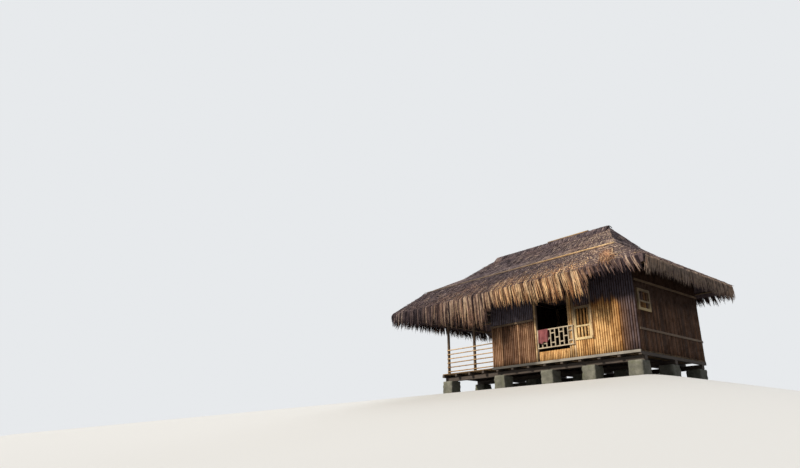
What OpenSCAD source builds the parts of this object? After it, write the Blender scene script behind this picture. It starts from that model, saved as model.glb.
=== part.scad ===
// Bamboo stilt house on stone piers, with a two-pitch hipped thatch roof and a covered veranda.
// X runs along the front from left to right, Y from front to back, Z up from the ground.

/* [House] */
// Length of the walled room along the front
house_l = 4800; // [4200:50:5600]
// Depth of the walled room, outside to outside
house_w = 3400; // [3000:50:4200]
// Width of the open veranda left of the room
veranda_w = 1970; // [1600:10:2400]
// Height of the top of the floor above the ground
floor_z = 640; // [560:10:900]
// Thickness of the bamboo walls
wall_t = 60; // [40:5:90]
// Diameter of the posts inside the walls
post_d = 110; // [80:5:140]
// Diameter of the veranda posts
veranda_post_d = 100; // [80:5:140]

/* [Roof] */
// Height of the outer eave edge above the ground
eave_z = 2740; // [2650:10:3000]
// How far the eaves reach past the front, back and right walls
eave_reach = 750; // [500:10:900]
// How far the left eave reaches past the veranda posts
veranda_reach = 1880; // [1500:10:2100]
// Run of the flatter lower slope at the front and back
lower_run = 1550; // [1350:10:1700]
// Rise of the flatter lower slope
lower_rise = 1060; // [950:10:1150]
// Rise of the steeper upper slope
upper_rise = 780; // [700:10:950]
// Height of the soft bend between the slopes, above and below the corner it rounds
bend_h = 140; // [100:5:200]
// Run of the steep rounded left end, up to its shoulder
left_shoulder_run = 350; // [250:10:450]
// Run of the nearly flat saddle behind the left shoulder
left_saddle_run = 1550; // [1300:10:1700]
// Run of the upper slope at the left end
left_upper_run = 920; // [800:10:1100]
// Run of the lower slope at the right end
right_lower_run = 1600; // [1400:10:1800]
// Run of the steep upper slope at the right end
right_upper_run = 620; // [450:10:800]
// Depth of the thatch, measured straight down
thatch_depth = 180; // [120:5:240]
// How far the lower edge of each course of thatch stands above the course under it
course_step = 30; // [15:5:40]
// Number of courses on the lower slope
lower_courses = 9; // [6:1:11]
// Number of courses on the upper slope, under the top course
upper_courses = 4; // [2:1:5]
// Height of the top course, which the ridge cap covers
top_course_h = 210; // [160:10:240]
// Thickness of the fringe that hangs from the eaves
fringe_t = 60; // [40:5:90]
// Length of the fringe at the eaves that carry no longer tiers
fringe_drop = 260; // [150:10:400]
// Width of one tuft at the lower edge of the fringe
tuft_w = 130; // [90:5:200]
// Diameter of the rafters and hip rafters
rafter_d = 80; // [60:5:100]
// Diameter of the purlins that carry the thatch
purlin_d = 50; // [40:5:60]
// Diameter of the poles that lie on the thatch
roof_pole_d = 60; // [45:5:90]

/* [Front wall] */
// Left edge of the open bay in the front wall
bay_x = 1740; // [1600:10:1800]
// Clear width of the open bay
bay_w = 1010; // [900:10:1100]
// Height of the low wall under the open bay, above the floor
low_wall_h = 265; // [200:5:350]
// Left edge of the front window
window_x = 2970; // [2950:10:3100]
// Clear width of the front window
window_w = 530; // [450:10:700]
// Height of the front window's lower edge above the floor
window_sill_h = 440; // [380:10:600]
// Clear height of the front window
window_h = 900; // [700:10:1000]
// Height of the end window's lower edge above the floor
end_sill_h = 1010; // [900:10:1100]
// Height of the middle rail above the floor, left of the open bay
panel_rail_h = 1170; // [1000:10:1300]

/* [Railings] */
// Height of the lattice railing's top above the floor
lattice_top = 870; // [800:10:950]
// Height of the lattice railing's lower edge above the floor
lattice_bottom = 345; // [300:5:400]
// Thickness of one bar of the lattice
lattice_bar = 30; // [22:1:38]
// Distance between the upright bars of the lattice
lattice_pitch = 145; // [120:5:180]
// Height of the veranda's top rail above the floor
rail_top = 740; // [650:10:900]
// Diameter of a veranda rail
rail_d = 38; // [30:1:50]
// Number of veranda rails above each other
rail_count = 6; // [4:1:7]

/* [Floor frame] */
// Side of a stone pier
pier_side = 420; // [350:10:480]
// Distance from the room's left wall to the middle of the second front pier
second_pier_x = 1930; // [1700:10:2100]
// Width of a long floor beam
beam_w = 120; // [90:5:150]
// Height of a long floor beam
beam_h = 120; // [90:5:150]
// Height and width of a floor joist
joist_side = 80; // [60:5:100]
// Thickness of the split bamboo floor
deck_t = 40; // [25:5:60]

/* [Hidden] */
$fn = 48;

// Clearance between pieces that rest on a curved face
seat = 0.3;
// Small overlap that makes a cut run clean through a face
through = 20;

// Roof plan, with the house corner as the origin
eave_left = -veranda_w - veranda_reach;
eave_right = house_l + eave_reach;
eave_front = -eave_reach;
eave_back = house_w + eave_reach;
roof_l = eave_right - eave_left;
roof_w = eave_back - eave_front;
mid_y = house_w / 2;
upper_run = roof_w / 2 - lower_run;
ridge_left = eave_left + left_shoulder_run + left_saddle_run + left_upper_run;
ridge_right = eave_right - right_lower_run - right_upper_run;
break_right = eave_right - right_lower_run;
break_front = eave_front + lower_run;
break_back = eave_back - lower_run;
break_z = eave_z + lower_rise;
roof_rise = lower_rise + upper_rise;
ridge_z = eave_z + roof_rise;
lower_pitch = atan2(lower_rise, lower_run);
upper_pitch = atan2(upper_rise, upper_run);
right_pitch = atan2(lower_rise, right_lower_run);
right_upper_pitch = atan2(upper_rise, right_upper_run);

// Heights over the eave where the bend starts and ends, and the heights that shape the left end
bend_low = lower_rise - bend_h;
bend_high = lower_rise + bend_h;
left_round = 1.4;
left_depth = 110;
left_facets = 5;
upper_course_h = (roof_rise - bend_high - top_course_h) / upper_courses;
bend_heights = [0, bend_low, bend_high, roof_rise];
left_heights = concat([for (i = [0:left_facets]) bend_low * i / left_facets], [bend_high, roof_rise]);
heights = concat(
  [for (i = [0:lower_courses]) bend_low * i / lower_courses],
  [for (i = [0:upper_courses]) bend_high + i * upper_course_h],
  [roof_rise]);

// Distance in from the eave at which the thatch is h higher than the eave
function two_pitch_run(h, lo, hi) =
  h <= bend_low ? h * lo / lower_rise
  : h >= bend_high ? lo + (h - lower_rise) * hi / upper_rise
  : let (a = bend_low * lo / lower_rise, b = lo + bend_h * hi / upper_rise)
    a + (b - a) * (h - bend_low) / (2 * bend_h);
function side_run(h) = two_pitch_run(h, lower_run, upper_run);
function right_run(h) = two_pitch_run(h, right_lower_run, right_upper_run);
function left_run(h) =
  h <= bend_low ? left_shoulder_run * pow(h / bend_low, left_round)
  : h <= bend_high ? left_shoulder_run + left_saddle_run * (h - bend_low) / (2 * bend_h)
  : left_shoulder_run + left_saddle_run + left_upper_run * (h - bend_high) / (roof_rise - bend_high);

// Where the inside of the steep left end stands at the height z
function left_inner_x(z) = eave_left + left_depth + left_run(max(0, z + thatch_depth - eave_z));

// Levels of the floor frame
joist_z = floor_z - deck_t - joist_side;
pier_h = joist_z - beam_h;

// Levels of the roof frame: each layer hangs under the thatch, measured square to the slope
purlin_drop = seat + purlin_d / 2;
rafter_drop = seat + purlin_d + seat + rafter_d / 2;
rafter_under = rafter_drop + rafter_d / 2 + seat;
plate_side = 100;
plate_y = wall_t + seat + post_d / 2;
plate_top = under_front(plate_y - plate_side / 2) - rafter_under / cos(lower_pitch);
tie_h = 90;
tie_w = 90;
ring_side = 90;
ring_top = under_front(break_front - ring_side / 2) - rafter_under / cos(lower_pitch);
ridge_beam_side = 100;
ridge_beam_top = upper_z(mid_y - ridge_beam_side / 2, rafter_under);

// Distance from the right eave at which the rafters' underside comes down to the height z
function right_reach(z) = (z + thatch_depth + rafter_under / cos(right_pitch) - eave_z) / tan(right_pitch);
end_gap = 20;
ring_left = left_inner_x(ring_top) + purlin_d + end_gap;
ring_right = eave_right - right_reach(ring_top);
plate_left = left_inner_x(plate_top) + purlin_d + end_gap;
plate_right = eave_right - right_reach(plate_top);

// Posts that show in the front wall
bay_post_d = 80;
jamb_d = 55;
stile_d = 55;
bay_right = bay_x + bay_w;
bay_post_x = bay_x - jamb_d - bay_post_d / 2;
bay_frame_x = bay_post_x - bay_post_d / 2 - post_d / 2;
window_post_x = window_x - bay_post_d / 2;
window_right = window_x + window_w;
window_z = floor_z + window_sill_h;
frame_w = 65;
frame_mid_w = 45;
frame_t = 80;
frame_mid = 0.38;

// Window in the right wall
end_window_y = 150;
end_window_w = 600;
end_window_z = floor_z + end_sill_h;
end_window_h = 560;

// Doorway between the veranda and the room
door_y = 1250;
door_w = 850;
door_h = 1750;

// Stations of the cross frames along the house
king_inset = 150;
king_x = [plate_y, ridge_right - king_inset];
ring_post_x = [ring_left + ring_side / 2, -veranda_w, plate_y, bay_frame_x,
  ridge_right - king_inset, ring_right - ring_side / 2];
tie_x = concat(ring_post_x, [plate_right - tie_w / 2]);
post_x = [plate_y, bay_frame_x, window_right + post_d, house_l - plate_y];
ring_post_d = 78;
king_post_d = 88;
rafter_pitch = 640;
rafter_first = 300;
end_rafter_pitch = 400;
lower_purlins = 4;
upper_purlins = 2;

// Height of the thatch surface and of its underside over the front lower slope
function top_front(y) = eave_z + (y - eave_front) * lower_rise / lower_run;
function under_front(y) = top_front(y) - thatch_depth;

// Moves the house corner so that the roof's middle stands over the origin
module at_house() translate([-(eave_left + eave_right) / 2, -(eave_front + eave_back) / 2, 0]) children();

// Round pole from p to q
module pole(p, q, d) {
  v = q - p;
  translate(p)
    rotate([0, acos(v[2] / norm(v)), atan2(v[1], v[0])])
      cylinder(d = d, h = norm(v));
}

// Block from its low corner to its high corner
module block(low, high) translate(low) cube(high - low);

// Copies for the back of the house
module back_side() translate([0, house_w, 0]) mirror([0, 1, 0]) children();

// Stone piers in one row, with slightly chamfered tops
function pier_columns() = let (
    first = pier_side / 2,
    end = house_l - pier_side / 2
  ) [-veranda_w, first, second_pier_x, (second_pier_x + end) / 2, end];

module pier_row(y) {
  for (x = pier_columns())
    block([x - pier_side / 2, y - pier_side / 2, 0], [x + pier_side / 2, y + pier_side / 2, pier_h]);
}

pier_inset = pier_side / 2;

module front_piers() color("darkseagreen") at_house() pier_row(pier_inset);
module middle_piers() color("darkseagreen") at_house() pier_row(mid_y);
module back_piers() color("darkseagreen") at_house() pier_row(house_w - pier_inset);

// Three long beams on the piers
module floor_beams() color("saddlebrown") at_house()
  for (y = [pier_inset, mid_y, house_w - pier_inset])
    block([-veranda_w - pier_side / 2, y - beam_w / 2, pier_h], [house_l, y + beam_w / 2, joist_z]);

// Joists across the beams
joist_count = 12;
module floor_joists() color("sienna") at_house()
  for (i = [0:joist_count]) {
    start = -veranda_w - pier_side / 2;
    x = start + i * (house_l - joist_side - start) / joist_count;
    block([x, 0, joist_z], [x + joist_side, house_w, joist_z + joist_side]);
  }

module house_floor() color("peru") at_house()
  block([0, 0, floor_z - deck_t], [house_l, house_w, floor_z]);

module veranda_floor() color("peru") at_house()
  block([-veranda_w - pier_side / 2, 0, floor_z - deck_t], [0, house_w, floor_z]);

// Pale board that covers the floor's edge along the front
sill_t = 30;
sill_h = 65;
module front_sill() color("gray") at_house()
  block([0, -sill_t, floor_z - sill_h], [house_l, 0, floor_z]);

// Posts inside the corners and along the walls
module house_posts() color("burlywood") at_house()
  for (x = post_x, y = [plate_y, house_w - plate_y])
    translate([x, y, floor_z])
      cylinder(d = post_d, h = plate_top - plate_side - floor_z);

veranda_mid_x = -0.42 * veranda_w;
module veranda_posts() color("dimgray") at_house()
  for (y = [plate_y, house_w - plate_y], x = [-veranda_w, veranda_mid_x])
    translate([x, y, floor_z])
      cylinder(d = veranda_post_d, h = plate_top - plate_side - floor_z);

// Posts in the plane of the front wall beside the bay and the window, and the pole over the window's stile
facade_top = plate_top - plate_side;
module facade_posts() color("goldenrod") at_house() {
  for (x = [bay_post_x, bay_right + bay_post_d / 2, window_post_x])
    translate([x, bay_post_d / 2, floor_z])
      cylinder(d = bay_post_d - 2 * seat, h = facade_top - floor_z);
  translate([bay_x - jamb_d / 2, jamb_d / 2, floor_z])
    cylinder(d = jamb_d - 2 * seat, h = facade_top - floor_z);
  translate([window_right + stile_d / 2, -stile_d / 2 - seat, window_z])
    cylinder(d = stile_d, h = facade_top - window_z);
}

// Plates on the posts, which reach out past the veranda to carry the left eave
module plate() block(
  [plate_left, plate_y - plate_side / 2, plate_top - plate_side],
  [plate_right, plate_y + plate_side / 2, plate_top]);
module front_plate() color("sienna") at_house() plate();
module back_plate() color("sienna") at_house() back_side() plate();

// Beams between the front plate and the back plate
module tie_beams() color("peru") at_house()
  for (x = tie_x)
    block([x - tie_w / 2, plate_y + plate_side / 2, plate_top - tie_h],
      [x + tie_w / 2, house_w - plate_y - plate_side / 2, plate_top]);

// Short posts from the tie beams to the ring beam, and king posts to the ridge beam
module roof_posts() color("burlywood") at_house() {
  for (x = ring_post_x, y = [break_front, break_back])
    translate([x, y, plate_top])
      cylinder(d = ring_post_d, h = ring_top - ring_side - plate_top);
  for (x = king_x)
    translate([x, mid_y, plate_top])
      cylinder(d = king_post_d, h = ridge_beam_top - ridge_beam_side - plate_top);
}

// Rectangular ring that carries both slopes where they bend
module ring_beam() color("sienna") at_house() difference() {
  block([ring_left, break_front - ring_side / 2, ring_top - ring_side],
    [ring_right, break_back + ring_side / 2, ring_top]);
  block([ring_left + ring_side, break_front + ring_side / 2, ring_top - ring_side - through],
    [ring_right - ring_side, break_back - ring_side / 2, ring_top + through]);
}

module ridge_beam() color("sienna") at_house()
  block([ridge_left, mid_y - ridge_beam_side / 2, ridge_beam_top - ridge_beam_side],
    [ridge_right, mid_y + ridge_beam_side / 2, ridge_beam_top]);

// Thatch over one side: a slab in stepped courses, given by its run at each height and cut to the roof's plan
function reversed(list) = [for (i = [len(list) - 1:-1:0]) list[i]];
function courses(top) = [for (i = [0:len(top) - 2])
  each [top[i] + [0, i < len(top) - 2 ? course_step : 0], top[i + 1]]];
function slab(top, under) = concat(courses(top), reversed(under));
side_slab = slab(
  [for (h = heights) [side_run(h), h]],
  [for (h = bend_heights) [side_run(h), h - thatch_depth]]);
right_slab = slab(
  [for (h = heights) [right_run(h), h]],
  [for (h = bend_heights) [right_run(h), h - thatch_depth]]);
left_slab = slab(
  [for (h = heights) [left_run(h), h]],
  [for (h = left_heights) [left_run(h) + (h <= bend_low ? left_depth : 0), h - thatch_depth]]);
plan_left = [for (h = heights) [eave_left + left_run(h), eave_front + side_run(h)]];
plan_right = [for (h = bend_heights) [eave_right - right_run(h), eave_front + side_run(h)]];
function both_sides(points) = concat(points, reversed([for (p = points) [p[0], house_w - p[1]]]));

module over_plan(points) linear_extrude(height = ridge_z + through) polygon(points);

module front_slope() intersection() {
  translate([eave_left, eave_front, eave_z])
    rotate([90, 0, 90]) linear_extrude(height = roof_l) polygon(side_slab);
  over_plan(concat(plan_left, reversed(plan_right)));
}

module end_slope(profile) translate([0, eave_back, eave_z])
  rotate([90, 0, 0]) linear_extrude(height = roof_w) polygon(profile);

module thatch_front() color("rosybrown") at_house() front_slope();
module thatch_back() color("rosybrown") at_house() back_side() front_slope();
module thatch_left() color("rosybrown") at_house() intersection() {
  translate([eave_left, 0, 0]) end_slope(left_slab);
  over_plan(both_sides(plan_left));
}
module thatch_right() color("rosybrown") at_house() intersection() {
  translate([eave_right, 0, 0]) mirror([1, 0, 0]) end_slope(right_slab);
  over_plan(both_sides(plan_right));
}

// Fringe: tiers of hanging tufts, each given as start, end, drop at the start and drop at the end
fringe_top = eave_z - thatch_depth;
front_tiers = [
  [eave_left, 540, 170, 900],
  [540, 3950, 350, 610],
  [3950, eave_right, 150, 310]];

function tier_drop(tiers, x) = let (
    hits = [for (t = tiers) if (x >= t[0] && x <= t[1]) t],
    t = hits[len(hits) - 1]
  ) t[2] + (t[3] - t[2]) * (x - t[0]) / (t[1] - t[0]);

function wobble(i) = 0.5 + 0.32 * sin(i * 137) + 0.18 * sin(i * 71);

function tuft_edge(x0, x1, tiers) = let (n = round((x1 - x0) / tuft_w), step = (x1 - x0) / n)
  [for (i = [0:n - 1]) each let (x = x0 + i * step, drop = tier_drop(tiers, x + step / 2)) [
    [x + step * 0.15, -drop * (0.78 + 0.08 * wobble(i + 3))],
    [x + step * 0.5, -drop * (0.9 + 0.1 * wobble(i))],
    [x + step * 0.85, -drop * (0.78 + 0.08 * wobble(i + 7))]]];

module fringe(x0, x1, tiers) rotate([90, 0, 0]) linear_extrude(height = fringe_t)
  polygon(concat([[x0, 0]], tuft_edge(x0, x1, tiers), [[x1, 0]]));

side_inset = fringe_t + seat;
module fringe_front() color("darkgoldenrod") at_house()
  translate([0, eave_front + fringe_t, fringe_top]) fringe(eave_left, eave_right, front_tiers);
module fringe_back() color("darkgoldenrod") at_house()
  translate([0, eave_back, fringe_top])
    fringe(eave_left, eave_right, [[eave_left, eave_right, fringe_drop, fringe_drop]]);
module end_fringe() rotate([0, 0, 90])
  fringe(eave_front + side_inset, eave_back - side_inset,
    [[eave_front, eave_back, fringe_drop, fringe_drop]]);
module fringe_left() color("darkgoldenrod") at_house()
  translate([eave_left, 0, fringe_top]) end_fringe();
module fringe_right() color("darkgoldenrod") at_house()
  translate([eave_right - fringe_t, 0, fringe_top]) end_fringe();

// Thatch saddle over the ridge: straight legs over the top courses and a rounded crown
cap_cover = 0.96;
cap_leg = cap_cover * top_course_h / sin(upper_pitch);
cap_t = 50;
crown_angle = 40;
crown_lift = 0.35 * cap_t;
crown_h = 0.85 * cap_t;
crown_w = 1.5 * cap_t;
function cap_profile() = let (dy = cap_leg * cos(upper_pitch), dz = cap_leg * sin(upper_pitch)) concat(
  [[-dy, -dz], [-dy, -dz + cap_t]],
  [for (a = [-crown_angle:crown_angle / 2:crown_angle]) [crown_w * sin(a), crown_lift + crown_h * cos(a)]],
  [[dy, -dz + cap_t], [dy, -dz], [0, 0]]);
module ridge_cap() color("dimgray") at_house()
  translate([ridge_left, mid_y, ridge_z + seat])
    rotate([90, 0, 90]) linear_extrude(height = ridge_right - ridge_left) polygon(cap_profile());

// Bamboo pole on the ridge, and poles that lie in the step at the foot of the bend and hold the thatch down
cap_top = ridge_z + seat + crown_lift + crown_h;
ridge_pole_left = 2150;
ridge_pole_right = 700;
slope_pole_inset = 60;
course_pitch = atan2(bend_low / lower_courses - course_step, side_run(bend_low) / lower_courses);
module slope_pole() {
  reach = roof_pole_d / 2 + seat;
  y = eave_front + side_run(bend_low) - reach;
  z = eave_z + bend_low - reach * tan(course_pitch) + reach / cos(course_pitch);
  pole([eave_left + left_run(bend_low) + slope_pole_inset, y, z],
    [eave_right - right_run(bend_low) - slope_pole_inset, y, z], roof_pole_d);
}
module roof_poles() color("burlywood") at_house() {
  ridge_pole_z = cap_top + seat + roof_pole_d / 2;
  pole([ridge_left + ridge_pole_left, mid_y, ridge_pole_z],
    [ridge_right - ridge_pole_right, mid_y, ridge_pole_z], roof_pole_d);
  slope_pole();
  back_side() slope_pole();
}

// Rafters: points on their axes, and the reach of a cut end below and above the axis
function lower_z(y, drop) = under_front(y) - drop / cos(lower_pitch);
function upper_z(y, drop) = break_z - thatch_depth + (y - break_front) * upper_rise / upper_run
  - drop / cos(upper_pitch);
eave_inset = 100;
rafter_tail = 60;
saddle_right = eave_left + left_run(bend_high);
rafter_last = 200;
pair_gap = 4;
head_gap = 2;
rafter_x = [for (x = [ring_left + rafter_first:rafter_pitch:ring_right - rafter_last]) x];
upper_foot = break_front + (ring_top + seat + rafter_d / 2 * cos(upper_pitch)
  - upper_z(break_front, rafter_drop)) * upper_run / upper_rise;
upper_head = mid_y - head_gap - rafter_d / 2 * sin(upper_pitch);

module side_rafters() for (x = rafter_x) {
  low = eave_front + eave_inset;
  high = x < saddle_right ? break_front : break_front + rafter_tail;
  pole([x, low, lower_z(low, rafter_drop)], [x, high, lower_z(high, rafter_drop)], rafter_d);
  beside = x + rafter_d + pair_gap;
  if (beside > ridge_left + rafter_d && beside < ridge_right - rafter_d)
    pole([beside, upper_foot, upper_z(upper_foot, rafter_drop)],
      [beside, upper_head, upper_z(upper_head, rafter_drop)], rafter_d);
}
module front_rafters() color("burlywood") at_house() side_rafters();
module back_rafters() color("burlywood") at_house() back_side() side_rafters();

// Rafters at the right end, and poles under the saddle at the left end
function right_z(distance, drop) = eave_z - thatch_depth + distance * tan(right_pitch)
  - drop / cos(right_pitch);
end_y = [for (y = [break_front + end_rafter_pitch / 2:end_rafter_pitch:break_back - eave_inset]) y];
module end_rafters() color("burlywood") at_house() {
  top = right_reach(ring_top) + rafter_tail;
  for (y = end_y)
    pole([eave_right - eave_inset, y, right_z(eave_inset, rafter_drop)],
      [eave_right - top, y, right_z(top, rafter_drop)], rafter_d);
  low = [eave_left + left_shoulder_run + left_depth, eave_z + bend_low - thatch_depth];
  high = [saddle_right, eave_z + bend_high - thatch_depth];
  along = (high - low) / norm(high - low);
  under = (purlin_d / 2 + seat) * [along[1], -along[0]];
  start = low + under + along * (ring_left - low[0]);
  end = high + under - along * end_gap;
  for (y = end_y) pole([start[0], y, start[1]], [end[0], y, end[1]], purlin_d);
}

// Hip rafters lie in the corners under the thatch: both hips at the right, the upper hip at the left
right_low_hip = [0.06, 0.98];
right_high_hip = [0.05, 0.9];
left_high_hip = [0.08, 0.9];
module hip_pole(a, b, pitch, share) {
  drop = [0, 0, -thatch_depth - (rafter_d / 2 + seat) / cos(pitch)];
  pole(a + share[0] * (b - a) + drop, a + share[1] * (b - a) + drop, rafter_d);
}
module side_hips() {
  peak_right = [ridge_right, mid_y, ridge_z];
  peak_left = [ridge_left, mid_y, ridge_z];
  corner = [eave_right, eave_front, eave_z];
  low = [plan_right[1][0], plan_right[1][1], eave_z + bend_low];
  high = [plan_right[2][0], plan_right[2][1], eave_z + bend_high];
  left_high = [saddle_right, eave_front + side_run(bend_high), eave_z + bend_high];
  hip_pole(corner, low, lower_pitch, right_low_hip);
  hip_pole(high, peak_right, max(upper_pitch, right_upper_pitch), right_high_hip);
  hip_pole(left_high, peak_left, upper_pitch, left_high_hip);
}
module hip_rafters() color("burlywood") at_house() {
  side_hips();
  back_side() side_hips();
}

// Purlins under the thatch, ending beside the hip rafters and inside the steep left end
purlin_gap = 95;
purlin_first = 0.12;
purlin_last = 0.82;
function purlin_t(i) = purlin_first + (purlin_last - purlin_first) * i / (lower_purlins - 1);

module side_purlins() {
  for (i = [0:lower_purlins - 1]) {
    t = purlin_t(i);
    y = eave_front + t * lower_run;
    z = lower_z(y, purlin_drop);
    pole([left_inner_x(z + purlin_d / 2) + purlin_d + end_gap, y, z],
      [eave_right - t * right_lower_run - purlin_gap, y, z], purlin_d);
  }
  for (i = [1:upper_purlins]) {
    t = i / (upper_purlins + 0.6);
    y = break_front + t * upper_run;
    z = upper_z(y, purlin_drop);
    pole([eave_left + left_run(lower_rise + t * upper_rise) + purlin_gap, y, z],
      [break_right - t * right_upper_run - purlin_gap, y, z], purlin_d);
  }
}
module front_purlins() color("tan") at_house() side_purlins();
module back_purlins() color("tan") at_house() back_side() side_purlins();

module end_purlins() color("tan") at_house() {
  for (i = [0:lower_purlins - 1]) {
    t = purlin_t(i);
    z = right_z(t * right_lower_run, purlin_drop);
    x = eave_right - t * right_lower_run;
    pole([x, eave_front + t * lower_run + purlin_gap, z],
      [x, eave_back - t * lower_run - purlin_gap, z], purlin_d);
  }
  for (i = [0:left_facets - 1]) {
    step = bend_low / left_facets;
    h = step * (i + 0.5);
    face = (left_run(step * i) + left_run(step * (i + 1))) / 2;
    lean = (left_run(step * (i + 1)) - left_run(step * i)) / step;
    x = eave_left + left_depth + face + purlin_drop * sqrt(1 + lean * lean);
    z = eave_z - thatch_depth + h;
    y = eave_front + side_run(h + purlin_d / 2) + end_gap;
    pole([x, y, z], [x, house_w - y, z], purlin_d);
  }
}

// Walls
wall_top = plate_top - plate_side;
module front_wall_left() color("peru") at_house()
  block([0, 0, floor_z], [bay_post_x - bay_post_d / 2, wall_t, wall_top]);
module front_low_wall() color("goldenrod") at_house()
  block([bay_x, 0, floor_z], [bay_right, wall_t, floor_z + low_wall_h]);
module front_wall_right() color("goldenrod") at_house() difference() {
  block([window_x, 0, floor_z], [house_l, wall_t, wall_top]);
  block([window_x - through, -through, window_z],
    [window_right, wall_t + through, window_z + window_h]);
}
module back_wall() color("peru") at_house()
  block([0, house_w - wall_t, floor_z], [house_l, house_w, wall_top]);
module left_wall() color("peru") at_house() difference() {
  block([0, wall_t, floor_z], [wall_t, house_w - wall_t, wall_top]);
  block([-through, door_y, floor_z - through], [wall_t + through, door_y + door_w, floor_z + door_h]);
}
module right_wall() color("peru") at_house() difference() {
  block([house_l - wall_t, wall_t, floor_z], [house_l, house_w - wall_t, wall_top]);
  block([house_l - wall_t - through, end_window_y, end_window_z],
    [house_l + through, end_window_y + end_window_w, end_window_z + end_window_h]);
}

// Split bamboo rails nailed across the outer faces of the walls
rail_w = 55;
rail_t = 22;
low_rail_h = 500;
high_rail_h = 1750;
module front_rail(h) block([0, -rail_t, floor_z + h], [bay_post_x - bay_post_d / 2, 0, floor_z + h + rail_w]);
module wall_rails() color("tan") at_house() {
  front_rail(panel_rail_h);
  for (h = [low_rail_h, high_rail_h]) {
    block([0, house_w, floor_z + h], [house_l, house_w + rail_t, floor_z + h + rail_w]);
    block([house_l, wall_t, floor_z + h], [house_l + rail_t, house_w - wall_t, floor_z + h + rail_w]);
  }
}

// Lattice railing in front of the open bay
lattice_y = -seat - lattice_bar;
module bar(x0, x1, z0, z1)
  block([x0, lattice_y, floor_z + z0], [x1, lattice_y + lattice_bar, floor_z + z1]);
lattice_n = floor((window_x - bay_x - lattice_bar) / lattice_pitch);
module lattice_rail() color("wheat") at_house() {
  bar(bay_x, window_x - lattice_bar, lattice_top - lattice_bar, lattice_top);
  bar(bay_x, window_x - lattice_bar, lattice_bottom, lattice_bottom + lattice_bar);
  for (i = [0:lattice_n]) {
    x = bay_x + i * lattice_pitch;
    bar(x, x + lattice_bar, lattice_bottom, lattice_top);
  }
  h = lattice_top - lattice_bottom;
  for (i = [0:lattice_n - 1], part = i % 2 == 0 ? [0.5] : [0.25, 0.75]) {
    x = bay_x + i * lattice_pitch;
    z = lattice_bottom + part * h;
    bar(x, x + lattice_pitch, z - lattice_bar / 2, z + lattice_bar / 2);
  }
}

// Rails between the veranda posts and the room, the lowest one less than a pitch above the floor
rail_foot = 0.4;
rail_pitch = rail_top / (rail_count - 1 + rail_foot);
module veranda_rails() color("wheat") at_house()
  for (i = [0:rail_count - 1]) {
    z = floor_z + rail_top - i * rail_pitch;
    pole([-veranda_w, plate_y - veranda_post_d / 2 - rail_d / 2 - seat, z],
      [-seat, plate_y - veranda_post_d / 2 - rail_d / 2 - seat, z], rail_d);
  }

// Cream frames round the two windows
module frame(w, h) difference() {
  block([0, -frame_t / 2, 0], [w, frame_t / 2, h]);
  block([frame_w, -frame_t, frame_w], [w - frame_w, frame_t, h * frame_mid]);
  block([frame_w, -frame_t, h * frame_mid + frame_mid_w], [w - frame_w, frame_t, h - frame_w]);
}
module window_frames() color("wheat") at_house() {
  translate([window_x + seat, wall_t / 2, window_z + seat])
    frame(window_w - 2 * seat, window_h - 2 * seat);
  translate([house_l - wall_t / 2, end_window_y + seat, end_window_z + seat]) rotate([0, 0, 90])
    frame(end_window_w - 2 * seat, end_window_h - 2 * seat);
}

// Cloth folded over the lattice's top rail
cloth_w = 330;
cloth_t = 8;
cloth_front = 400;
cloth_back = 240;
cloth_gap = 40;
module hung_cloth() color("indianred") at_house() translate([bay_x + cloth_gap, 0, 0]) difference() {
  block([0, lattice_y - cloth_t - seat, floor_z + lattice_top - cloth_front],
    [cloth_w, lattice_y + lattice_bar + cloth_t + seat, floor_z + lattice_top + cloth_t + seat]);
  block([-through, lattice_y - seat, floor_z],
    [cloth_w + through, lattice_y + lattice_bar + seat, floor_z + lattice_top + seat]);
  block([-through, lattice_y + lattice_bar, floor_z],
    [cloth_w + through, house_w, floor_z + lattice_top - cloth_back]);
}

front_piers();
middle_piers();
back_piers();
floor_beams();
floor_joists();
house_floor();
veranda_floor();
front_sill();
house_posts();
veranda_posts();
facade_posts();
front_plate();
back_plate();
tie_beams();
roof_posts();
ring_beam();
ridge_beam();
front_rafters();
back_rafters();
end_rafters();
hip_rafters();
front_purlins();
back_purlins();
end_purlins();
thatch_front();
thatch_back();
thatch_left();
thatch_right();
fringe_front();
fringe_back();
fringe_left();
fringe_right();
ridge_cap();
roof_poles();
front_wall_left();
front_low_wall();
front_wall_right();
left_wall();
right_wall();
back_wall();
wall_rails();
lattice_rail();
veranda_rails();
window_frames();
hung_cloth();
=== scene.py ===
"""Dresses the stilt house: thatch, fringe, bamboo, lattice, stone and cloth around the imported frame."""
import math

import bmesh
import bpy
import numpy as np
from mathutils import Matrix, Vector, noise
from numpy.random import default_rng


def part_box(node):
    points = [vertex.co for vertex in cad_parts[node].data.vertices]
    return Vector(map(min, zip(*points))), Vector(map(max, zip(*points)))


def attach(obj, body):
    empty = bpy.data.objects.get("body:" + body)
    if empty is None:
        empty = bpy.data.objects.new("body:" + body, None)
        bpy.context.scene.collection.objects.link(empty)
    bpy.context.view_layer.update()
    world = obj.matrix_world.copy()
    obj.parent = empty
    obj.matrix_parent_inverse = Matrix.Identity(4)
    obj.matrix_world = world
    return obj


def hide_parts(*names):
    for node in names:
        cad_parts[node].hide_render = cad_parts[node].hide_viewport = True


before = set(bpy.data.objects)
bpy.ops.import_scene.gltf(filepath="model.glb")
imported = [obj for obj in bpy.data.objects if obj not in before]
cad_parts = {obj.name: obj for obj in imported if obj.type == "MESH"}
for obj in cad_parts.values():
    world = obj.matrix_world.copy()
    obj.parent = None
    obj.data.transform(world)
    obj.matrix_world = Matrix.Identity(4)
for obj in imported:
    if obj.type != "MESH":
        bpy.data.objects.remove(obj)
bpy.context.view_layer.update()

IMAGE_WIDTH = 800

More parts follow.
